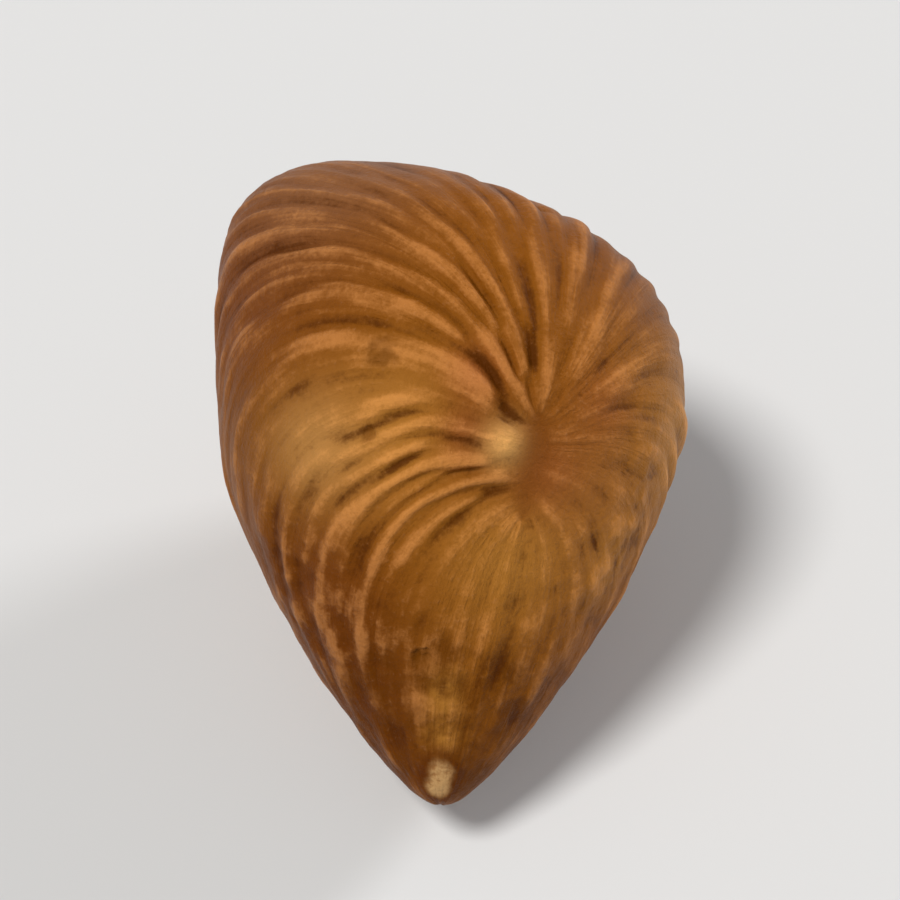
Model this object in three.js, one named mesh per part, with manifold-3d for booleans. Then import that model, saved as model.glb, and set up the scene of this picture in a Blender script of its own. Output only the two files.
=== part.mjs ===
// A shelled hazelnut kernel in its brown skin, lying on its flank with the point to the front.
// It grew as one piece, so it is one closed body: round behind, drawn out to a blunt point in front.
// The veins of its skin stand up as ridges. They fan out from a hub on the upper side, sweep round
// the body and run together again at the point.
// Millimetres, +Z up, the point towards -Y. The origin is under the middle of the kernel's box.

import * as THREE from 'three';
import { mergeVertices } from 'three/addons/utils/BufferGeometryUtils.js';
import Module from 'manifold-3d';

// Driving dimensions of the body
const BODY_RADIUS = 5.85;
const POINT_REACH = 10.9; // from the middle of the body to the point
const POINT_SPREAD = 24; // degrees over which the point's rise falls to a third
const POINT_ROUNDING = 4; // degrees over which the very tip is rounded off
const REST_HEIGHT = 6.13; // middle of the body above the surface that it lies on

// Where things lie, in degrees: azimuth from the front towards +X, elevation above the horizontal
const POINT_AT = [-1.5, -24];
const HUB_AT = [18, 23]; // middle of the short furrow that the veins leave
const FURROW_REACH = 10; // degrees from its middle to its ends
const BOSS_AT = [13, 30.5];

// Broad swellings and hollows of the body: place, width in degrees, height in millimetres
const SWELLS = [
  { place: [-122, 32], width: 17, height: 1.2 }, // high shoulder behind, on the left
  { place: [148, 40], width: 24, height: -0.85 }, // lower shoulder on the right
  { place: [180, -8], width: 40, height: -0.15 }, // flattened blunt end
  { place: [-84, -12], width: 34, height: -0.15 }, // flatter left cheek
  { place: [60, -25], width: 24, height: -0.2 }, // flatter lower right cheek
  { place: [31, 19], width: 9, height: -0.09 }, // smooth hollow below the hub
  { place: [51, 13], width: 4, height: 0.08 }, // small knob beyond the hollow
  { place: [-1.5, -19], width: 2.4, height: 0.14 }, // nub just above the tip
];

// Beside the hub of the veins: a low boss in a shallow dish
const BOSS_HEIGHT = 0.17;
const BOSS_WIDTH = 3.8; // degrees
const DISH_DEPTH = 0.12;
const DISH_WIDTH = 10; // degrees

// The ridges over the veins
const FIRST_RIDGES = 12; // those that leave the hub, before any of them forks
const MOST_FORKS = 4;
const RIDGE_SPACING = 0.92; // they fork where they have spread further apart than this
const RIDGE_HEIGHT = 0.11; // half the height from groove to crest
const GROOVE_SHARPNESS = 1.5; // above 1 makes the grooves narrower than the crests
const UNEQUAL_RIDGES = 7; // a slower wave for each FIRST_RIDGES, which makes some higher
const UNEQUAL_SHARE = 0.4;
const UNEQUAL_PHASE = 0.7; // radians
const FORKING = [0.15, 0.85]; // shares of the way to the next fork over which a crest splits
const FINE_AT = [-5, 24]; // where the ridges are finest, beside the furrow on the left
const FINE_WIDTH = 14; // degrees
const FINE_SHARE = 0.5; // of their spacing that they lose there
const FINE_LOSS = 0.3; // share of their height that is lost there
const HUB_REACH = 36; // degrees from the hub over which the ridges fall to a third
const FAR_SHARE = 0.3; // of their height that they keep far from the hub
const RIDGES_START = [0.03, 0.1]; // shares of the way from hub to point over which they rise
const RIDGES_END = [0.7, 0.96]; // and over which they fall again
const END_LOSS = 0.9; // share of their height that is lost at the point
const SEAM_HEIGHT = 0.06; // the one straight vein from the hub down to the point
const SEAM_WIDTH = 8; // degrees
const SEAM_START = [0.2, 0.4];
const SEAM_END = [0.75, 0.95];

// The ridges wander sideways from the veins, by two waves over the body
const STRAY = 0.2; // how far
const STRAY_WAVE = new THREE.Vector3(7, 0, 5);
const STRAY_PHASE = 1; // radians
const STRAY_CROSS_WAVE = new THREE.Vector3(-4, 6, 0);
const STRAY_EASE = 1.5; // a larger one lets them wander less where they are close together

// Their height differs from vein to vein and from place to place: the share of it that does, the
// waves once round the hub, the waves from hub to point, and the phase in radians
const UNEVEN_VEINS = { part: 0.2, around: 11, onward: 5, phase: 2 };
const UNEVEN_PATCHES = { part: 0.28, around: 7, onward: 9, phase: 1 };

// The veins lie unevenly round the hub, as they grew: waves round it, by height and phase in radians
const VEIN_WAVES = [
  { times: 2, height: 0.09, phase: 0.4 },
  { times: 5, height: 0.045, phase: 1.9 },
  { times: 9, height: 0.022, phase: 0.3 },
];

// Sectors round the hub where the ridges are stronger: middle and width in degrees, added strength
const LEAST_STRENGTH = 0.4;
const STRONG_SECTORS = [
  { middle: 155, width: 46, gain: 0.65 }, // upper right
  { middle: 215, width: 38, gain: 0.25 }, // upper left
  { middle: 265, width: 28, gain: 0.65 }, // left of the furrow
];

// Places where the ridges are low: place, width in degrees, share of their height that is lost
const CALM_PLACES = [
  { place: [-8, -78], width: 18, loss: 0.8 }, // the belly that it lies on
  { place: [-47, 19], width: 11, loss: 0.8 }, // left flank
  { place: [40, 9], width: 15, loss: 0.8 }, // cheek beside the hub
  { place: [12, 4], width: 10, loss: 0.6 }, // below the hub
  { place: [31, 24], width: 8, loss: 0.9 }, // right of the hub
  { place: [14, 35], width: 4, loss: 0.6 }, // above the boss
  { place: [78, 30], width: 16, loss: 0.55 }, // right side
];

// The mesh: rings round the hub, crossed by lines that run with the veins
const LINES = 184; // an even number
const RINGS = 32;
const FIRST_RING = 0.045; // share of the way from hub to point
const LAST_RING = 0.97;
const LINE_CROWDING = 2.4; // the lines are closer together towards the back, where veins spread
const RING_CROWDING = 0.4; // the rings are closer together half way, where they pass over the back

const radians = THREE.MathUtils.degToRad;
const { lerp, smoothstep } = THREE.MathUtils;

function direction([azimuth, elevation]) {
  const level = Math.cos(radians(elevation));
  const x = Math.sin(radians(azimuth)) * level;
  const y = -Math.cos(radians(azimuth)) * level;
  return new THREE.Vector3(x, y, Math.sin(radians(elevation)));
}

const pointDirection = direction(POINT_AT);
const hubDirection = direction(HUB_AT);
const bossDirection = direction(BOSS_AT);

// A round hill by the cosine of the angle from its centre: 1 at the centre, fading over its width
function hill(cosine, width) {
  return Math.exp((cosine - 1) / radians(width) ** 2);
}

// The smooth body: distance from its middle to its surface along a direction
function bodyRadius(along) {
  const cosine = THREE.MathUtils.clamp(along.dot(pointDirection), -1, 1);
  const fromPoint = THREE.MathUtils.radToDeg(Math.acos(cosine));
  const rounded = Math.hypot(fromPoint, POINT_ROUNDING) - POINT_ROUNDING;
  let radius = BODY_RADIUS + (POINT_REACH - BODY_RADIUS) * Math.exp(-rounded / POINT_SPREAD);
  for (const { place, width, height } of SWELLS) {
    radius += height * hill(along.dot(direction(place)), width);
  }
  const fromBoss = along.dot(bossDirection);
  return radius + BOSS_HEIGHT * hill(fromBoss, BOSS_WIDTH) - DISH_DEPTH * hill(fromBoss, DISH_WIDTH);
}

// The veins leave the furrow squarely on both sides and bend round to the point. To draw them, the
// directions are projected from the point onto a flat map. There the furrow is a straight stroke, the
// rings are ellipses round it, and the veins are the hyperbolas that cross them squarely.
const hubOnMap = 1 / Math.tan(hubDirection.angleTo(pointDirection) / 2);
const mapScale = Math.hypot(1, hubOnMap);
const furrowOnMap = radians(FURROW_REACH) * mapScale ** 2 / 2;
const mapY = hubDirection.clone().cross(pointDirection).normalize();
const mapX = pointDirection.clone().cross(mapY);

// The place at an angle round the hub and a share of the way from hub to point. The angle is 0
// straight down to the point and grows over the right side. Spread is how far apart veins lie there.
function placeOnVein(angle, share) {
  const fromHub = mapScale * Math.tan(share * Math.PI / 2);
  const x = hubOnMap + Math.hypot(fromHub, furrowOnMap) * Math.cos(angle);
  const y = fromHub * Math.sin(angle);
  const square = x * x + y * y;
  const along = pointDirection.clone().multiplyScalar((square - 1) / (square + 1))
    .addScaledVector(mapX, 2 * x / (square + 1))
    .addScaledVector(mapY, 2 * y / (square + 1));
  const radius = bodyRadius(along);
  const spreadOnMap = Math.hypot(fromHub, furrowOnMap * Math.sin(angle));
  return { angle, share, along, radius, spread: radius * 2 * spreadOnMap / (square + 1) };
}

// Veins are numbered by turn, which runs once round the hub as the angle does
function veinTurn(angle) {
  let turn = angle;
  for (const { times, height, phase } of VEIN_WAVES) {
    turn += height * Math.sin(times * angle + phase);
  }
  return turn;
}

function veinStrength(angle) {
  let strength = LEAST_STRENGTH;
  for (const { middle, width, gain } of STRONG_SECTORS) {
    strength += gain * hill(Math.cos(angle - radians(middle)), width);
  }
  return strength;
}

// 1 where the ridges are finest, fading to 0 away from there
function fineness(along) {
  return hill(along.dot(direction(FINE_AT)), FINE_WIDTH);
}

// The ridges as a wave from -1 in a groove to 1 on a crest. Each crest splits in two where there is
// room for twice as many.
function ridgeWave({ angle, along, spread }) {
  const stray = Math.sin(along.dot(STRAY_WAVE) + STRAY_PHASE) * Math.cos(along.dot(STRAY_CROSS_WAVE));
  const turn = veinTurn(angle) + STRAY * stray / (spread + STRAY_EASE);
  const spacing = RIDGE_SPACING * (1 - FINE_SHARE * fineness(along));
  const room = Math.log2(2 * Math.PI * spread / spacing / FIRST_RIDGES);
  const forks = THREE.MathUtils.clamp(room, 0, MOST_FORKS);
  const wave = (times) => (Math.cos(FIRST_RIDGES * times * turn)
    + UNEQUAL_SHARE * Math.cos(UNEQUAL_RIDGES * times * turn + UNEQUAL_PHASE)) / (1 + UNEQUAL_SHARE);
  const times = 2 ** Math.floor(forks);
  const height = lerp(wave(times), wave(2 * times), smoothstep(forks % 1, ...FORKING));
  return 1 - 2 * ((1 - height) / 2) ** GROOVE_SHARPNESS;
}

// How much higher than usual the ridges are: more or less than 1, from vein to vein and place to place
function unevenness(turn, share) {
  const patches = UNEVEN_PATCHES;
  const veins = UNEVEN_VEINS;
  return 1
    + patches.part * Math.sin(patches.around * turn + patches.phase) * Math.sin(patches.onward * share + turn)
    + veins.part * Math.sin(veins.around * turn + veins.phase - veins.onward * share);
}

// The relief of the skin over the smooth body
function skinRelief(place) {
  const { angle, share, along } = place;
  const nearHub = lerp(FAR_SHARE, 1, hill(along.dot(hubDirection), HUB_REACH));
  const ends = smoothstep(share, ...RIDGES_START) * (1 - END_LOSS * smoothstep(share, ...RIDGES_END));
  const uneven = unevenness(veinTurn(angle), share);
  let height = RIDGE_HEIGHT * veinStrength(angle) * uneven * nearHub * ends;
  height *= 1 - FINE_LOSS * fineness(along);
  for (const { place: calm, width, loss } of CALM_PLACES) {
    height *= 1 - loss * hill(along.dot(direction(calm)), width);
  }

  const fromSeam = 2 * Math.sin(angle / 2) / radians(SEAM_WIDTH);
  const seamEnds = smoothstep(share, ...SEAM_START) * (1 - smoothstep(share, ...SEAM_END));
  const seam = SEAM_HEIGHT * Math.exp(-(fromSeam ** 2)) * seamEnds;
  return height * ridgeWave(place) + seam;
}

// The whole kernel round the middle of its body, as one closed surface. The first ring is closed by
// faces across the furrow, from each point to the one that faces it.
function kernelGeometry() {
  const positions = [];
  const faces = [];
  const addPoint = (along, radius) => positions.push(...along.clone().multiplyScalar(radius));

  for (let ring = 0; ring < RINGS; ring++) {
    const even = ring / (RINGS - 1);
    const crowded = even + RING_CROWDING * Math.sin(2 * Math.PI * even) / (2 * Math.PI);
    const share = lerp(FIRST_RING, LAST_RING, crowded);
    for (let line = 0; line < LINES; line++) {
      const half = Math.PI * line / LINES;
      const angle = 2 * Math.atan2(LINE_CROWDING * Math.sin(half), Math.cos(half));
      const place = placeOnVein(angle, share);
      addPoint(place.along, place.radius + skinRelief(place));
    }
  }
  addPoint(pointDirection, bodyRadius(pointDirection));

  const at = (ring, line) => ring * LINES + line % LINES;
  for (let line = 0; line < LINES / 2 - 1; line++) {
    faces.push(at(0, line + 1), at(0, LINES - line - 1), at(0, LINES - line));
    faces.push(at(0, line + 1), at(0, line + 2), at(0, LINES - line - 1));
  }
  const last = RINGS * LINES;
  for (let line = 0; line < LINES; line++) {
    for (let ring = 0; ring < RINGS - 1; ring++) {
      faces.push(at(ring, line), at(ring + 1, line), at(ring + 1, line + 1));
      faces.push(at(ring, line), at(ring + 1, line + 1), at(ring, line + 1));
    }
    faces.push(last, at(RINGS - 1, line + 1), at(RINGS - 1, line));
  }

  const geometry = new THREE.BufferGeometry();
  geometry.setAttribute('position', new THREE.Float32BufferAttribute(positions, 3));
  geometry.setIndex(faces);
  return geometry;
}

// Everything below the resting surface, as one slab
function groundGeometry() {
  const across = 4 * POINT_REACH;
  const slab = new THREE.BoxGeometry(across, across, POINT_REACH);
  slab.translate(0, 0, -POINT_REACH / 2);
  slab.deleteAttribute('normal');
  slab.deleteAttribute('uv');
  return mergeVertices(slab);
}

const wasm = await Module();
wasm.setup();

function toSolid(geometry) {
  const mesh = new wasm.Mesh({
    numProp: 3,
    vertProperties: new Float32Array(geometry.attributes.position.array),
    triVerts: new Uint32Array(geometry.index.array),
  });
  return new wasm.Manifold(mesh);
}

function toGeometry(solid) {
  const mesh = solid.getMesh();
  const geometry = new THREE.BufferGeometry();
  geometry.setAttribute('position', new THREE.BufferAttribute(mesh.vertProperties, mesh.numProp));
  geometry.setIndex(new THREE.BufferAttribute(mesh.triVerts, 1));
  geometry.computeVertexNormals();
  return geometry;
}

// The kernel set down: raised to its resting height, with a small flat worn where it lies
function restingKernel() {
  const body = kernelGeometry();
  body.translate(0, 0, REST_HEIGHT);
  const geometry = toGeometry(toSolid(body).subtract(toSolid(groundGeometry())));
  geometry.computeBoundingBox();
  const middle = geometry.boundingBox.getCenter(new THREE.Vector3());
  return geometry.translate(-middle.x, -middle.y, 0);
}

const skin = new THREE.MeshStandardMaterial({ color: '#a9733c', roughness: 0.62, metalness: 0 });

const kernel = new THREE.Mesh(restingKernel(), skin);
kernel.name = 'hazelnut_kernel';

const hazelnut = new THREE.Group();
hazelnut.add(kernel);

export default hazelnut;
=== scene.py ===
"""A shelled hazelnut kernel: the fine surface and finish of its skin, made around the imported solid.

The body, its swells and the ridges over its veins are the solid's own, by the same named values.
The fine relief of the skin is added here: lumps, wrinkles, crumpled patches, threads, grain, pits and
the bare spot at the point.
Shapes are worked out in millimetres and placed in metres.
"""

import math

import bpy
import numpy as np
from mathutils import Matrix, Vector, noise


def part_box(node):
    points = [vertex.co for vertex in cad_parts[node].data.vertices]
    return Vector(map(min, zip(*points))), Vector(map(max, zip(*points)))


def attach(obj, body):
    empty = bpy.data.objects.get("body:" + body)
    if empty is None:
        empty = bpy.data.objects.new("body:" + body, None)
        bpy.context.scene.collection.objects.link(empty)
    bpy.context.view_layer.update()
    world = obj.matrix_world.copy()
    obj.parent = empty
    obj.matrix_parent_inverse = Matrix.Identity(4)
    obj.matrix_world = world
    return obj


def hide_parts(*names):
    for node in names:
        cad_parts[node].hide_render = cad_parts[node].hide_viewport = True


MILLIMETRE = 0.001
NODE = "hazelnut_kernel"

# Driving dimensions of the body, in millimetres and degrees
BODY_RADIUS = 5.85
POINT_REACH = 10.9
POINT_SPREAD = 24
POINT_ROUNDING = 4
REST_HEIGHT = 6.13

# Where things lie: azimuth from the front towards +X, elevation above the horizontal
POINT_AT = (-1.5, -24)
HUB_AT = (18, 23)
FURROW_REACH = 10
BOSS_AT = (13, 30.5)

# Broad swellings and hollows of the body: place, width in degrees, height in millimetres
SWELLS = (
    ((-122, 32), 17, 1.2),
    ((148, 40), 24, -0.85),
    ((180, -8), 40, -0.15),
    ((-84, -12), 34, -0.15),
    ((60, -25), 24, -0.2),
    ((31, 19), 9, -0.09),
    ((51, 13), 4, 0.08),
    ((-1.5, -19), 2.4, 0.14),
)

# Beside the hub of the veins: a low boss in a shallow dish
BOSS_HEIGHT = 0.17
BOSS_WIDTH = 3.8
DISH_DEPTH = 0.12
DISH_WIDTH = 10

# The ridges over the veins
FIRST_RIDGES = 12
MOST_FORKS = 4
RIDGE_SPACING = 0.92
RIDGE_HEIGHT = 0.11
GROOVE_SHARPNESS = 1.5
UNEQUAL_RIDGES = 7
UNEQUAL_SHARE = 0.4
UNEQUAL_PHASE = 0.7
FORKING = (0.15, 0.85)
FINE_AT = (-5, 24)
FINE_WIDTH = 14
FINE_SHARE = 0.5
FINE_LOSS = 0.3
HUB_REACH = 36
FAR_SHARE = 0.3
RIDGES_START = (0.03, 0.1)
RIDGES_END = (0.7, 0.96)
END_LOSS = 0.9
SEAM_HEIGHT = 0.06
SEAM_WIDTH = 8
SEAM_START = (0.2, 0.4)
SEAM_END = (0.75, 0.95)

# The ridges wander sideways from the veins, by two waves over the body
STRAY = 0.2
STRAY_WAVE = (7, 0, 5)
STRAY_PHASE = 1
STRAY_CROSS_WAVE = (-4, 6, 0)
STRAY_EASE = 1.5

# Their height differs from vein to vein and from place to place: the share of it that does, the
# waves once round the hub, the waves from hub to point, and the phase
UNEVEN_VEINS = (0.2, 11, 5, 2)
UNEVEN_PATCHES = (0.28, 7, 9, 1)

# The veins lie unevenly round the hub, as they grew: waves round it, by number, height and phase
VEIN_WAVES = (
    (2, 0.09, 0.4),
    (5, 0.045, 1.9),
    (9, 0.022, 0.3),
)

# Sectors round the hub where the ridges are stronger: middle and width in degrees, added strength
LEAST_STRENGTH = 0.4
STRONG_SECTORS = (
    (155, 46, 0.65),
    (215, 38, 0.25),
    (265, 28, 0.65),
)

# Places where the ridges are low: place, width in degrees, share of their height that is lost
BELLY_AT = (-8, -78)
BELLY_WIDTH = 18
BELLY_CALM = 0.8
CALM_PLACES = (
    (BELLY_AT, BELLY_WIDTH, BELLY_CALM),
    ((-47, 19), 11, 0.8),
    ((40, 9), 15, 0.8),
    ((12, 4), 10, 0.6),
    ((31, 24), 8, 0.9),
    ((14, 35), 4, 0.6),
    ((78, 30), 16, 0.55),
)

# The fine relief over the ridges, in millimetres. It is made of noise in layers, and the shifts
# keep one kind of noise from repeating another.
LAYERS = 2
LUMP_SIZE = 2.1
LUMP_HEIGHT = 0.045
WRINKLE_SIZE = 0.42
WRINKLE_HEIGHT = 0.06
CRUMPLE_SIZE = 0.75
CRUMPLE_HEIGHT = 0.08
CRUMPLE_LAYERS = 3
CRUMPLE_SHIFT = 7
THREAD_SIZE = 0.2
THREAD_HEIGHT = 0.02
GRAIN_SIZE = 0.3
GRAIN_HEIGHT = 0.006
COMB_REACH = 0.9

# The ridges break up and bend here and there: the size of the breaks, how much of the height they
# change and the least and most that they leave, and how far the lumps push the ridges aside
BREAK_SIZE = 1.7
BREAK_SHIFT = 20
BREAK_STRENGTH = 0.9
BREAK_LIMITS = (0.2, 1.6)
KINK = 0.12
KINK_EASE = 1

# Places where the skin is crumpled: place, width in degrees, strength
CRUMPLED_PLACES = (
    ((-30, -8), 14, 1),
    ((-8, -12), 9, 0.7),
    ((36, -3), 10, 1.2),
    ((51, 13), 6, 0.8),
    ((12, -16), 8, 0.6),
    ((130, -10), 22, 0.8),
    ((-140, -25), 22, 0.8),
    ((60, -40), 16, 0.7),
)

# The finest threads, drawn in the material: their width, breaks from hub to point, and the steps in
# which their number doubles from where the veins lie closest
THREAD_WIDTH = 0.13
THREAD_BREAKS = 8
THREAD_STEPS = 6
LEAST_SPREAD = 0.4

# The terrace round the point, and the bare spot on it. Their edges are blurred, and the breaks,
# wrinkles and grain of the skin shift them, all in degrees. A darker rim, painted shadow of the skin's
# torn edge, runs round the bare spot.
TERRACE_WIDTH = 21.5
TERRACE_HEIGHT = 0.035
TERRACE_BLUR = 2
TERRACE_BREAKS = 4
TERRACE_WRINKLES = 2
BARE_SPOTS = ((-1.4, -18.5), (-1.8, -20.0))
BARE_WIDTH = 1.6
BARE_DEPTH = 0.03
BARE_BLUR = (0.8, 0.5)
BARE_GRAIN = 0.3
BARE_WRINKLES = 0.4
BARE_LIP_SHADOW_AT = 0.6
BARE_LIP_SHADOW_WIDTH = 0.6

# Places where crests and grooves differ more in colour than their height alone tells, with more painted
# highlight on the crests and painted shade in the grooves: place, width in degrees, added share
STRIPED_PLACES = (
    (FINE_AT, FINE_WIDTH, 0.9),
    ((36, 47), 11, 0.9),
)
MOST_CONTRAST = 1.4

# The furrow at the hub: its depth, and the share of the way to the point within which it ends
FURROW_DEPTH = 0.035
FURROW_SHARE = 0.085

# Small dents: place, width in degrees, depth in millimetres
PITS = (
    ((-22.7, 48.5), 2.8, 0.08),
    ((-20.5, 31), 1.1, 0.12),
    ((-4.6, -5.4), 1.2, 0.12),
    ((118, 62), 1.3, 0.09),
    ((152, 18), 1.7, 0.1),
    ((-148, -12), 1.2, 0.1),
    ((97, -6), 1.1, 0.09),
    ((-118, 12), 1.5, 0.08),
)

# Shares of a dent's round hill between which its side falls
PIT_EDGE = (0.2, 0.8)

# The fine mesh
LINES = 480
RINGS = 200
FIRST_RING = 0.004
LAST_RING = 0.99
LINE_CROWDING = 3

# The floor: half its width in metres, and its colour and finish
FLOOR_REACH = 4
FLOOR_COLOUR = (0.68, 0.7, 0.73, 1)
FLOOR_ROUGHNESS = 0.9
FLOOR_GLOSS = 0.1

# The light all round: its colour, its strength at the horizon and overhead, and the heights from 0 to
# 1 between which it fades
ROUND_LIGHT = (1, 0.97, 0.93, 1)
HORIZON_LIGHT = 0.55
OVERHEAD_LIGHT = 0.2
FADE_HEIGHTS = (0.05, 0.4)

# Two soft lights from far off: name, where they come from, width in degrees, strength, colour
SOFT_LIGHTS = (
    ("key", (-0.15, -0.1, 0.34), 18, 2.6, (1, 0.96, 0.9)),
    ("rim", (0.28, 0.2, 0.16), 18, 1.5, (1, 0.97, 0.94)),
)

# The camera: degrees above the floor, metres from the kernel's middle, lens in millimetres
CAMERA_ELEVATION = 45
CAMERA_DISTANCE = 0.062
CAMERA_LENS = 100
CAMERA_RANGE = (0.005, 10)


def smoothstep(value, low, high):
    share = np.clip((value - low) / (high - low), 0, 1)
    return share * share * (3 - 2 * share)


def direction(place):
    azimuth, elevation = np.radians(place)
    level = np.cos(elevation)
    return np.array([np.sin(azimuth) * level, -np.cos(azimuth) * level, np.sin(elevation)])


POINT = direction(POINT_AT)
HUB = direction(HUB_AT)
BOSS = direction(BOSS_AT)


def hill(cosine, width):
    """A round hill by the cosine of the angle from its centre: 1 there, fading over its width."""
    return np.exp((cosine - 1) / np.radians(width) ** 2)


def body_radius(along):
    """The smooth body: distance from its middle to its surface along each direction."""
    from_point = np.degrees(np.arccos(np.clip(along @ POINT, -1, 1)))
    rounded = np.hypot(from_point, POINT_ROUNDING) - POINT_ROUNDING
    radius = BODY_RADIUS + (POINT_REACH - BODY_RADIUS) * np.exp(-rounded / POINT_SPREAD)
    for place, width, height in SWELLS:
        radius = radius + height * hill(along @ direction(place), width)
    from_boss = along @ BOSS
    return radius + BOSS_HEIGHT * hill(from_boss, BOSS_WIDTH) - DISH_DEPTH * hill(from_boss, DISH_WIDTH)


def vein_grid():
    """Angle round the hub and share of the way to the point, for every ring and line of the mesh."""
    half = np.pi * np.arange(LINES) / LINES
    angle = 2 * np.arctan2(LINE_CROWDING * np.sin(half), np.cos(half))
    share = np.linspace(FIRST_RING, LAST_RING, RINGS)
    return np.meshgrid(angle, share)


def place_on_vein(angle, share):
    """The direction of each place on the veins, and how far apart veins lie there for each radian.

    Seen from the point on a flat map, the veins are hyperbolas that leave the furrow squarely.
    """
    hub_on_map = 1 / np.tan(np.arccos(HUB @ POINT) / 2)
    map_scale = np.hypot(1, hub_on_map)
    furrow_on_map = np.radians(FURROW_REACH) * map_scale**2 / 2
    map_y = np.cross(HUB, POINT)
    map_y /= np.linalg.norm(map_y)
    map_x = np.cross(POINT, map_y)
    from_hub = map_scale * np.tan(share * np.pi / 2)
    x = (hub_on_map + np.hypot(from_hub, furrow_on_map) * np.cos(angle))[..., None]
    y = (from_hub * np.sin(angle))[..., None]
    square = x * x + y * y
    along = (POINT * (square - 1) + map_x * 2 * x + map_y * 2 * y) / (square + 1)
    spread_on_map = np.hypot(from_hub, furrow_on_map * np.sin(angle))
    return along, body_radius(along) * 2 * spread_on_map / (square[..., 0] + 1)


def vein_turn(angle):
    """Veins are numbered by turn, which runs once round the hub as the angle does."""
    return angle + sum(height * np.sin(times * angle + phase) for times, height, phase in VEIN_WAVES)


def vein_strength(angle):
    strength = LEAST_STRENGTH
    for middle, width, gain in STRONG_SECTORS:
        strength = strength + gain * hill(np.cos(angle - math.radians(middle)), width)
    return strength


def strayed_turn(angle, along, spread):
    """The ridges wander a little sideways from the veins."""
    stray = np.sin(along @ STRAY_WAVE + STRAY_PHASE) * np.cos(along @ STRAY_CROSS_WAVE)
    return vein_turn(angle) + STRAY * stray / (spread + STRAY_EASE)


def fineness(along):
    """1 where the ridges are finest, fading to 0 away from there."""
    return hill(along @ direction(FINE_AT), FINE_WIDTH)


def ridge_wave(turn, along, spread):
    """The ridges as a wave from -1 in a groove to 1 on a crest, forking where there is room."""
    spacing = RIDGE_SPACING * (1 - FINE_SHARE * fineness(along))
    room = np.log2(2 * np.pi * spread / spacing / FIRST_RIDGES)
    forks = np.clip(room, 0, MOST_FORKS)

    def wave(times):
        even = np.cos(FIRST_RIDGES * times * turn)
        unequal = UNEQUAL_SHARE * np.cos(UNEQUAL_RIDGES * times * turn + UNEQUAL_PHASE)
        return (even + unequal) / (1 + UNEQUAL_SHARE)

    times = 2 ** np.floor(forks)
    forked = smoothstep(forks % 1, *FORKING)
    height = (1 - forked) * wave(times) + forked * wave(2 * times)
    return 1 - 2 * ((1 - height) / 2) ** GROOVE_SHARPNESS


def unevenness(turn, share):
    """How much higher than usual the ridges are, from vein to vein and from place to place."""
    part, around, onward, phase = UNEVEN_PATCHES
    uneven = 1 + part * np.sin(around * turn + phase) * np.sin(onward * share + turn)
    part, around, onward, phase = UNEVEN_VEINS
    return uneven + part * np.sin(around * turn + phase - onward * share)


def ridge_height(angle, share, along):
    """Half the height of the ridges from groove to crest."""
    uneven = unevenness(vein_turn(angle), share)
    near_hub = FAR_SHARE + (1 - FAR_SHARE) * hill(along @ HUB, HUB_REACH)
    ends = smoothstep(share, *RIDGES_START) * (1 - END_LOSS * smoothstep(share, *RIDGES_END))
    height = RIDGE_HEIGHT * vein_strength(angle) * uneven * near_hub * ends
    height = height * (1 - FINE_LOSS * fineness(along))
    for place, width, loss in CALM_PLACES:
        height = height * (1 - loss * hill(along @ direction(place), width))
    return height


def seam_height(angle, share):
    from_seam = 2 * np.sin(angle / 2) / math.radians(SEAM_WIDTH)
    ends = smoothstep(share, *SEAM_START) * (1 - smoothstep(share, *SEAM_END))
    return SEAM_HEIGHT * np.exp(-(from_seam**2)) * ends


def rough(points, detail=LAYERS):
    """Smooth noise from about -1 to 1 at each point, with that many layers of finer noise."""
    flat = points.reshape(-1, 3)
    values = [noise.fractal(Vector(p), 1.0, 2.0, detail) for p in flat.tolist()]
    return np.array(values).reshape(points.shape[:-1])


def combed(points, *layers):
    """Layers of noise drawn out along the veins: each value is averaged with those along its line."""
    values = np.stack(layers, axis=-1)
    drawn = np.empty_like(values)
    for line in range(LINES):
        path = points[:, line]
        gaps = np.linalg.norm(path[:, None] - path[None], axis=-1)
        weight = np.exp(-((gaps / COMB_REACH) ** 2))
        drawn[:, line] = weight @ values[:, line] / weight.sum(axis=1, keepdims=True)
    return np.moveaxis(drawn, -1, 0)


def degrees_from(along, place):
    return np.degrees(np.arccos(np.clip(along @ direction(place), -1, 1)))


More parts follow.
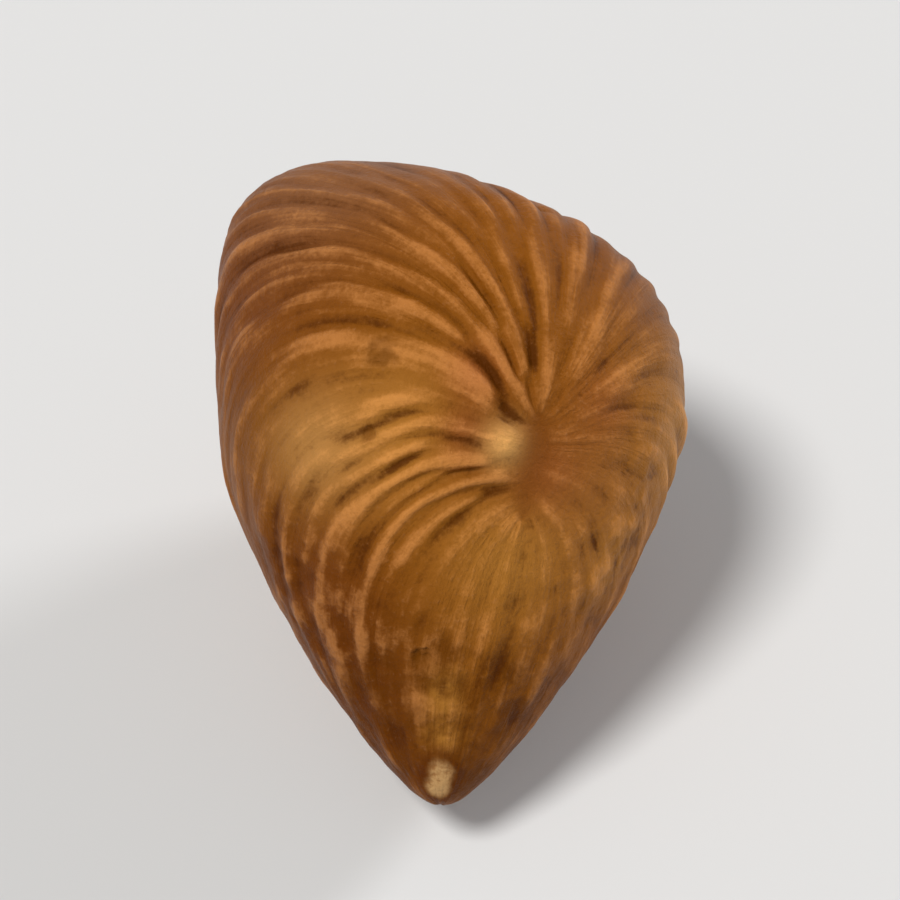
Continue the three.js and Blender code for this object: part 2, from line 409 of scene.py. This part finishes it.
def kernel_surface():
    """Every point of the fine surface in millimetres round the middle of the body, with its marks."""
    angle, share = vein_grid()
    along, spread = place_on_vein(angle, share)
    turn = vein_turn(angle)
    smooth = along * body_radius(along)[..., None]

    lumps = rough(smooth / LUMP_SIZE)
    breaks = rough(smooth / BREAK_SIZE + BREAK_SHIFT)
    grain = rough(smooth / GRAIN_SIZE)
    wrinkles, threads = combed(smooth, rough(smooth / WRINKLE_SIZE), rough(smooth / THREAD_SIZE))

    height = ridge_height(angle, share, along) * np.clip(1 + BREAK_STRENGTH * breaks, *BREAK_LIMITS)
    kinked = strayed_turn(angle, along, spread) + KINK * lumps / (spread + KINK_EASE)
    wave = ridge_wave(kinked, along, spread)
    relief = height * wave + seam_height(angle, share)

    off_belly = 1 - BELLY_CALM * hill(along @ direction(BELLY_AT), BELLY_WIDTH)
    off_hub = smoothstep(share, 0, FURROW_SHARE)
    crumpled = np.zeros_like(share)
    for place, width, strength in CRUMPLED_PLACES:
        crumpled += strength * hill(along @ direction(place), width)
    crumples = rough(smooth / CRUMPLE_SIZE + CRUMPLE_SHIFT, CRUMPLE_LAYERS) * np.clip(crumpled, 0, 1)
    fine = LUMP_HEIGHT * lumps + CRUMPLE_HEIGHT * crumples + GRAIN_HEIGHT * grain
    fine += off_hub * (WRINKLE_HEIGHT * wrinkles + THREAD_HEIGHT * threads)
    relief += off_belly * fine - FURROW_DEPTH * (1 - off_hub)

    pit_mark = np.zeros_like(relief)
    for place, width, depth in PITS:
        pit = smoothstep(hill(along @ direction(place), width) * (1 + grain), *PIT_EDGE)
        relief -= depth * pit
        pit_mark = np.maximum(pit_mark, pit)

    terrace_edge = degrees_from(along, POINT_AT) + TERRACE_BREAKS * breaks + TERRACE_WRINKLES * wrinkles
    terrace = 1 - smoothstep(terrace_edge, TERRACE_WIDTH - TERRACE_BLUR, TERRACE_WIDTH + TERRACE_BLUR)
    relief -= TERRACE_HEIGHT * terrace
    from_bare = np.minimum(*(degrees_from(along, spot) for spot in BARE_SPOTS)) - BARE_WIDTH
    from_bare += BARE_GRAIN * grain + BARE_WRINKLES * wrinkles
    bare = 1 - smoothstep(from_bare, -BARE_BLUR[0], BARE_BLUR[1])
    relief -= BARE_DEPTH * bare

    contrast = height / RIDGE_HEIGHT
    for place, width, added in STRIPED_PLACES:
        contrast = contrast * (1 + added * hill(along @ direction(place), width))
    marks = {
        "ridge": wave * np.clip(contrast, 0, MOST_CONTRAST),
        "wrinkle": off_hub * wrinkles,
        "thread": off_hub * threads,
        "crumple": crumples,
        "terrace": terrace,
        "bare": bare,
        # painted shadow: where the darker rim round the bare spot lies
        "bare_lip_shadow": hill(np.cos(np.radians(from_bare - BARE_LIP_SHADOW_AT)), BARE_LIP_SHADOW_WIDTH),
        "pit": pit_mark,
        "off_hub": off_hub,
        "spread": spread,
    }
    fibre = np.stack([np.cos(turn), np.sin(turn), share], axis=-1)
    points = along * (np.linalg.norm(smooth, axis=-1) + relief)[..., None]
    return points, marks, fibre, tint(along)


def linear(red, green, blue):
    """A colour on the usual 0 to 255 screen scale, as the linear colour that shaders take."""
    parts = [c / 255 for c in (red, green, blue)]
    return [c / 12.92 if c <= 0.04045 else ((c + 0.055) / 1.055) ** 2.4 for c in parts] + [1]


# The colours of the skin, judged one by one
SKIN_BROWN = linear(138, 80, 16)
# GOLD is darker than the skin's own gold, as painted shade for the left flank
GOLD = linear(126, 74, 1)
HONEY = linear(192, 134, 58)
RUSSET = linear(108, 54, 10)
UMBER = linear(88, 40, 1)
OCHRE = linear(94, 48, 1)
ROSE = linear(152, 94, 42)
BLUSH = linear(150, 82, 42)
# greyish pink: painted sheen on the top rim, and the pale specks of the skin
SHEEN_AND_SPECK_PINK = linear(140, 96, 64)
BOSS_TAN = linear(206, 154, 88)
# crest tan and groove brown: partly the skin's lighter veins and darker grooves, partly painted highlight
# and painted shade
CREST_TAN = linear(200, 144, 88)
GROOVE_BROWN = linear(80, 37, 1)
BARE_CREAM = linear(190, 150, 100)
BARE_TAN = linear(150, 106, 62)
PIT_BROWN = linear(104, 58, 6)

# What makes a spot lighter or darker than its zone: each mark's weight, then those of the noises.
# At the middle tone it has its zone's colour, at the dark tone a groove's, at the light one a crest's.
# The marks are heights of the relief: low places darker, high ones lighter, partly painted shade in
# grooves and wrinkles and painted highlight on crests
TONE_OF_MARKS = (("ridge", 0.5), ("wrinkle", 0.9), ("thread", 0.7), ("crumple", 0.6))
TONE_OF_MOTTLE = 0.7
TONE_OF_STREAKS = 0.75
TONE_OF_GRAIN = 0.6
DARK_TONE = -0.15
MIDDLE_TONE = 0.5
LIGHT_TONE = 1.15
BARE_TONES = (0.2, 0.75)

# How much each of these colours covers, and the noise from where it starts to where it is full
# The groove and crest covers set how much painted shade and painted highlight the relief gets
GROOVE_COVER = 0.9
CREST_COVER = 0.4
CREST_COVER_OF_GRAIN = 0.7
CREST_LIGHTENING = (2.1, 2.0, 1.9, 1)
CREST_TAN_COVER = 0.5
# the terrace's ochre is partly painted shade at the point
TERRACE_COVER = 0.7
TERRACE_CREST_LOSS = 0.5
TERRACE_MOTTLE = (0.35, 0.6)
SPECK_COVER = 0.35
SPECK_GRAIN = (0.58, 0.75)
PIT_COVER = 0.6
FURROW_COVER = 0.4
# the painted shadow round the bare spot
BARE_LIP_SHADOW_COVER = 0.7

# The noises of the skin: scale for each millimetre, layers, roughness
MOTTLE = (1.5, 3.0, 0.6)
GRAIN = (8.0, 4.0, 0.7)
THREADS = (1.0, 2.0, 0.6)

# The skin's gloss, and the depth of the finest relief in millimetres
LEAST_ROUGHNESS = 0.24
ROUGHNESS_OF_GRAIN = 0.3
GLOSS = 0.07
GLOSS_TINT = linear(255, 222, 180)
FINEST_RELIEF = 0.06
FINEST_STRENGTH = 0.8

# Zones of the skin: place, width in degrees, colour, strength
ZONES = (
    # partly painted shade: the left flank is golden, and made darker as if in shadow
    ((-56, 17), 15, GOLD, 0.95),
    ((-14, 34), 11, HONEY, 0.5),
    # partly painted light: the left front, which faces the light, is made lighter tan
    ((-34, 24), 9, BOSS_TAN, 0.6),
    ((-95, 37), 25, RUSSET, 0.95),
    # partly painted shade: the lower front towards the point is made darker, besides its own browner
    # colour
    ((-34, -9), 14, UMBER, 0.65),
    ((-22, 0), 8, RUSSET, 0.6),
    ((-14, -14), 12, UMBER, 0.8),
    ((36, 12), 14, ROSE, 0.7),
    ((12, 9), 9, HONEY, 0.55),
    ((34, -3), 7, HONEY, 0.4),
    # partly painted highlight: the right rim is made lighter honey
    ((71, 3), 19, HONEY, 0.75),
    # painted sheen: the top rim is tinted greyish pink, as the papery skin shines at grazing light
    ((-128, 54), 19, SHEEN_AND_SPECK_PINK, 0.7),
    ((88, 40), 17, RUSSET, 0.4),
    ((160, 15), 28, RUSSET, 0.5),
    ((-165, -25), 24, GOLD, 0.4),
    ((112, -22), 22, UMBER, 0.4),
    ((-105, -25), 20, GOLD, 0.4),
    ((40, -45), 22, RUSSET, 0.5),
    ((-1, -9), 2, HONEY, 0.6),
    ((-1, -14), 2, HONEY, 0.6),
    ((3.5, 33.7), 3.5, BLUSH, 0.6),
    ((7.7, 46), 4.5, BLUSH, 0.6),
    ((22, 22), 6, BLUSH, 0.5),
    ((42, 30), 6, BLUSH, 0.4),
    (BOSS_AT, 8, RUSSET, 0.5),
    (BOSS_AT, 3.4, BOSS_TAN, 1),
)


def tint(along):
    """The skin's own colour from zone to zone."""
    colour = np.broadcast_to(SKIN_BROWN, along.shape[:-1] + (4,)).copy()
    for place, width, zone_colour, strength in ZONES:
        share = (strength * hill(along @ direction(place), width))[..., None]
        colour = colour * (1 - share) + np.array(zone_colour) * share
    return colour


def add_attribute(mesh, name, kind, field, values):
    """Values for every ring and line, with the mean of the last ring at the point."""
    columns = values.reshape(-1, values.shape[-1])
    columns = np.concatenate([columns, values[-1:].mean(axis=1)])
    mesh.attributes.new(name, kind, "POINT").data.foreach_set(field, columns.astype(np.float32).ravel())


def kernel_faces():
    """The faces of the mesh and the place of each corner on the skin's flat map.

    The first ring is closed by faces across the furrow, from each point to the one that faces it.
    """

    def at(ring, line):
        return ring * LINES + line % LINES

    last = RINGS * LINES
    faces = []
    corners = []
    for line in range(LINES // 2 - 1):
        left = line / LINES
        right = (line + 1) / LINES
        faces.append((at(0, line + 1), at(0, LINES - line - 1), at(0, LINES - line)))
        corners += [(right, FIRST_RING / 2), (right, 0), (left, 0)]
        faces.append((at(0, line + 1), at(0, line + 2), at(0, LINES - line - 1)))
        corners += [(right, FIRST_RING / 2), (right + 1 / LINES, FIRST_RING / 2), (right, 0)]
    for line in range(LINES):
        left = line / LINES
        right = (line + 1) / LINES
        for ring in range(RINGS - 1):
            upper = FIRST_RING + (LAST_RING - FIRST_RING) * ring / (RINGS - 1)
            lower = FIRST_RING + (LAST_RING - FIRST_RING) * (ring + 1) / (RINGS - 1)
            faces.append((at(ring, line), at(ring + 1, line), at(ring + 1, line + 1), at(ring, line + 1)))
            corners += [(left, upper), (left, lower), (right, lower), (right, upper)]
        faces.append((last, at(RINGS - 1, line + 1), at(RINGS - 1, line)))
        corners += [((left + right) / 2, 1), (right, LAST_RING), (left, LAST_RING)]
    return faces, corners


def build_kernel(low, high):
    """The fine kernel as one closed mesh, set down where the solid is."""
    points, marks, fibre, colour = kernel_surface()
    tip = POINT * np.linalg.norm(points[-1], axis=-1).mean()
    vertices = np.concatenate([points.reshape(-1, 3), [tip]])
    vertices[:, 2] = np.maximum(vertices[:, 2] + REST_HEIGHT, 0)
    vertices *= MILLIMETRE
    middle = (vertices.min(axis=0) + vertices.max(axis=0)) / 2
    vertices[:, :2] += ((np.array(low) + np.array(high)) / 2 - middle)[:2]

    faces, corners = kernel_faces()
    mesh = bpy.data.meshes.new("kernel_skin")
    mesh.from_pydata(vertices.tolist(), [], faces)
    layer = mesh.uv_layers.new(name="OFBake")
    layer.data.foreach_set("uv", np.array(corners, dtype=np.float32).ravel())
    for name, values in marks.items():
        add_attribute(mesh, name, "FLOAT", "value", values[..., None])
    add_attribute(mesh, "fibre", "FLOAT_VECTOR", "vector", fibre)
    add_attribute(mesh, "tint", "FLOAT_COLOR", "color", colour)
    mesh.shade_smooth()
    mesh.validate()
    piece = bpy.data.objects.new("kernel_skin", mesh)
    bpy.context.scene.collection.objects.link(piece)
    return piece


class Nodes:
    """A material's nodes, made and linked by short calls."""

    def __init__(self, name):
        self.material = bpy.data.materials.new(name)
        self.material.use_nodes = True
        self.tree = self.material.node_tree
        self.shader = self.tree.nodes["Principled BSDF"]

    def put(self, node, socket, value):
        if isinstance(value, bpy.types.NodeSocket):
            self.tree.links.new(value, node.inputs[socket])
        else:
            node.inputs[socket].default_value = value

    def attribute(self, name, output="Fac"):
        node = self.tree.nodes.new("ShaderNodeAttribute")
        node.attribute_name = name
        return node.outputs[output]

    def math(self, operation, first, second):
        node = self.tree.nodes.new("ShaderNodeMath")
        node.operation = operation
        self.put(node, 0, first)
        self.put(node, 1, second)
        return node.outputs[0]

    def add(self, first, second):
        return self.math("ADD", first, second)

    def times(self, first, second):
        return self.math("MULTIPLY", first, second)

    def rest(self, share):
        """What a share leaves of 1."""
        return self.math("SUBTRACT", 1, share)

    def centred(self, noise_value):
        return self.math("SUBTRACT", noise_value, 0.5)

    def scaled(self, vector, scale):
        node = self.tree.nodes.new("ShaderNodeVectorMath")
        node.operation = "MULTIPLY"
        self.put(node, 0, vector)
        self.put(node, 1, scale)
        return node.outputs[0]

    def noise(self, vector, scale, detail, roughness):
        node = self.tree.nodes.new("ShaderNodeTexNoise")
        self.put(node, "Vector", vector)
        self.put(node, "Scale", scale)
        self.put(node, "Detail", detail)
        self.put(node, "Roughness", roughness)
        return node.outputs["Fac"]

    def spread(self, value, low, high):
        """The value's range from low to high stretched to 0 to 1."""
        node = self.tree.nodes.new("ShaderNodeMapRange")
        node.interpolation_type = "SMOOTHSTEP"
        self.put(node, "Value", value)
        self.put(node, "From Min", low)
        self.put(node, "From Max", high)
        return node.outputs["Result"]

    def mix(self, share, first, second, blend="MIX"):
        node = self.tree.nodes.new("ShaderNodeMix")
        node.data_type = "RGBA"
        node.blend_type = blend
        self.put(node, 0, share)
        self.put(node, 6, first)
        self.put(node, 7, second)
        return node.outputs[2]

    def bump(self, height, distance, strength, normal=None):
        node = self.tree.nodes.new("ShaderNodeBump")
        self.put(node, "Height", height)
        self.put(node, "Distance", distance)
        self.put(node, "Strength", strength)
        if normal is not None:
            self.put(node, "Normal", normal)
        return node.outputs["Normal"]

    def position(self):
        return self.tree.nodes.new("ShaderNodeTexCoord").outputs["Object"]


def threads_along_veins(nodes):
    """Fine threads that run with the veins and stay about as thick where the veins draw together."""
    fibre = nodes.attribute("fibre", "Vector")
    crowding = nodes.math("LOGARITHM", nodes.times(nodes.attribute("spread"), 1 / LEAST_SPREAD), 2)
    crowding = nodes.math("MINIMUM", nodes.math("MAXIMUM", crowding, 0), THREAD_STEPS - 1)
    total = 0.0
    for step in range(THREAD_STEPS):
        across = LEAST_SPREAD * 2**step / THREAD_WIDTH
        noise_value = nodes.noise(nodes.scaled(fibre, (across, across, THREAD_BREAKS)), *THREADS)
        distance = nodes.math("ABSOLUTE", nodes.math("SUBTRACT", crowding, step), 0)
        weight = nodes.math("MAXIMUM", nodes.rest(distance), 0)
        total = nodes.add(total, nodes.times(noise_value, weight))
    return total


def skin_material():
    """Papery brown skin: light crests and dark grooves, partly painted highlight and shade, fine threads
    along the veins, bare at the point.
    """
    nodes = Nodes("hazelnut_skin")
    place = nodes.scaled(nodes.position(), (1 / MILLIMETRE,) * 3)
    threads = nodes.centred(threads_along_veins(nodes))
    streaks = nodes.times(threads, nodes.attribute("off_hub"))
    mottle = nodes.noise(place, *MOTTLE)
    grain = nodes.noise(place, *GRAIN)

    tone = MIDDLE_TONE
    for mark, weight in TONE_OF_MARKS:
        tone = nodes.add(tone, nodes.times(nodes.attribute(mark), weight))
    tone = nodes.add(tone, nodes.times(nodes.centred(mottle), TONE_OF_MOTTLE))
    tone = nodes.add(tone, nodes.times(streaks, TONE_OF_STREAKS))
    tone = nodes.add(tone, nodes.times(nodes.centred(grain), TONE_OF_GRAIN))

    zone = nodes.attribute("tint", "Color")
    # partly painted shade: the terrace round the point is made darker with ochre, besides its own colour
    terrace = nodes.times(nodes.attribute("terrace"), nodes.spread(mottle, *TERRACE_MOTTLE))
    colour = nodes.mix(nodes.times(terrace, TERRACE_COVER), zone, OCHRE)
    # partly painted shade: low places of the relief take the groove brown
    groove = nodes.spread(tone, MIDDLE_TONE, DARK_TONE)
    colour = nodes.mix(nodes.times(groove, GROOVE_COVER), colour, GROOVE_BROWN)
    # partly painted highlight: high places of the relief take a lighter tan
    crest = nodes.spread(tone, MIDDLE_TONE, LIGHT_TONE)
    crest = nodes.times(crest, nodes.add(nodes.times(grain, CREST_COVER_OF_GRAIN), CREST_COVER))
    crest = nodes.times(crest, nodes.rest(nodes.times(terrace, TERRACE_CREST_LOSS)))
    lighter = nodes.mix(1.0, zone, CREST_LIGHTENING, "MULTIPLY")
    colour = nodes.mix(crest, colour, nodes.mix(CREST_TAN_COVER, lighter, CREST_TAN))
    # the pale specks are the skin's own; the same pink also serves as painted sheen on the top rim
    specks = nodes.spread(grain, *SPECK_GRAIN)
    colour = nodes.mix(nodes.times(specks, SPECK_COVER), colour, SHEEN_AND_SPECK_PINK)
    colour = nodes.mix(nodes.times(nodes.attribute("pit"), PIT_COVER), colour, PIT_BROWN)
    furrow = nodes.rest(nodes.attribute("off_hub"))
    colour = nodes.mix(nodes.times(furrow, FURROW_COVER), colour, RUSSET)
    # painted shadow: a thin umber rim round the bare spot, as if cast by the torn edge of the skin
    colour = nodes.mix(nodes.times(nodes.attribute("bare_lip_shadow"), BARE_LIP_SHADOW_COVER), colour, UMBER)
    bare_tone = nodes.spread(nodes.add(grain, nodes.centred(tone)), *BARE_TONES)
    colour = nodes.mix(nodes.attribute("bare"), colour, nodes.mix(bare_tone, BARE_TAN, BARE_CREAM))
    nodes.put(nodes.shader, "Base Color", colour)

    roughness = nodes.add(nodes.times(grain, ROUGHNESS_OF_GRAIN), LEAST_ROUGHNESS)
    nodes.put(nodes.shader, "Roughness", roughness)
    nodes.shader.inputs["Specular IOR Level"].default_value = GLOSS
    nodes.shader.inputs["Specular Tint"].default_value = GLOSS_TINT

    normal = nodes.bump(streaks, FINEST_RELIEF * MILLIMETRE, FINEST_STRENGTH)
    normal = nodes.bump(grain, FINEST_RELIEF * MILLIMETRE, FINEST_STRENGTH, normal)
    nodes.put(nodes.shader, "Normal", normal)
    return nodes.material


def stage_floor():
    """A plain pale floor."""
    corners = [(x * FLOOR_REACH, y * FLOOR_REACH, 0) for x, y in ((-1, -1), (1, -1), (1, 1), (-1, 1))]
    mesh = bpy.data.meshes.new("floor")
    mesh.from_pydata(corners, [], [(0, 1, 2, 3)])
    floor = bpy.data.objects.new("floor", mesh)
    bpy.context.scene.collection.objects.link(floor)
    nodes = Nodes("pale_floor")
    nodes.shader.inputs["Base Color"].default_value = FLOOR_COLOUR
    nodes.shader.inputs["Roughness"].default_value = FLOOR_ROUGHNESS
    nodes.shader.inputs["Specular IOR Level"].default_value = FLOOR_GLOSS
    mesh.materials.append(nodes.material)


def aim(thing, target):
    thing.rotation_mode = "QUATERNION"
    thing.rotation_quaternion = (Vector(target) - thing.location).to_track_quat("-Z", "Y")


def soft_light(name, place, width, power, colour, target):
    """Light from far off, the same all over the floor."""
    data = bpy.data.lights.new(name, "SUN")
    data.angle = math.radians(width)
    data.energy = power
    data.color = colour
    light = bpy.data.objects.new(name, data)
    light.location = place
    bpy.context.scene.collection.objects.link(light)
    aim(light, target)


def studio_world():
    """Pale all round at the height of the floor, darker overhead."""
    world = bpy.data.worlds.new("studio")
    world.use_nodes = True
    tree = world.node_tree
    background = tree.nodes["Background"]
    background.inputs["Color"].default_value = ROUND_LIGHT
    parts = tree.nodes.new("ShaderNodeSeparateXYZ")
    tree.links.new(tree.nodes.new("ShaderNodeTexCoord").outputs["Generated"], parts.inputs[0])
    fade = tree.nodes.new("ShaderNodeMapRange")
    fade.inputs["From Min"].default_value = FADE_HEIGHTS[0]
    fade.inputs["From Max"].default_value = FADE_HEIGHTS[1]
    fade.inputs["To Min"].default_value = HORIZON_LIGHT
    fade.inputs["To Max"].default_value = OVERHEAD_LIGHT
    tree.links.new(parts.outputs["Z"], fade.inputs["Value"])
    tree.links.new(fade.outputs["Result"], background.inputs["Strength"])
    bpy.context.scene.world = world


def light_and_camera(low, high):
    middle = (np.array(low) + np.array(high)) / 2
    for name, place, width, power, colour in SOFT_LIGHTS:
        soft_light(name, place, width, power, colour, middle)
    studio_world()
    bpy.context.scene.view_settings.view_transform = "Standard"

    data = bpy.data.cameras.new("camera")
    data.lens = CAMERA_LENS
    data.clip_start, data.clip_end = CAMERA_RANGE
    camera = bpy.data.objects.new("camera", data)
    elevation = math.radians(CAMERA_ELEVATION)
    back = Vector((0, -math.cos(elevation), math.sin(elevation)))
    camera.location = Vector(middle) + back * CAMERA_DISTANCE
    bpy.context.scene.collection.objects.link(camera)
    aim(camera, middle)
    bpy.context.scene.camera = camera


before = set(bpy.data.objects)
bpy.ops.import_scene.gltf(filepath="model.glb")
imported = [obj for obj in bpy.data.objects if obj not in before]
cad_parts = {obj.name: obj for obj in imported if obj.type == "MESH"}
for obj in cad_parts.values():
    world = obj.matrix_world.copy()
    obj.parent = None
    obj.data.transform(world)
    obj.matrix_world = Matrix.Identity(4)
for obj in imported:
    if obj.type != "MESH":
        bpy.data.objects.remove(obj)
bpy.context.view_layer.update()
node_low, node_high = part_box(NODE)
kernel = build_kernel(node_low, node_high)
kernel.data.materials.append(skin_material())
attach(kernel, "root")
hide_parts(NODE)
stage_floor()
light_and_camera(node_low, node_high)
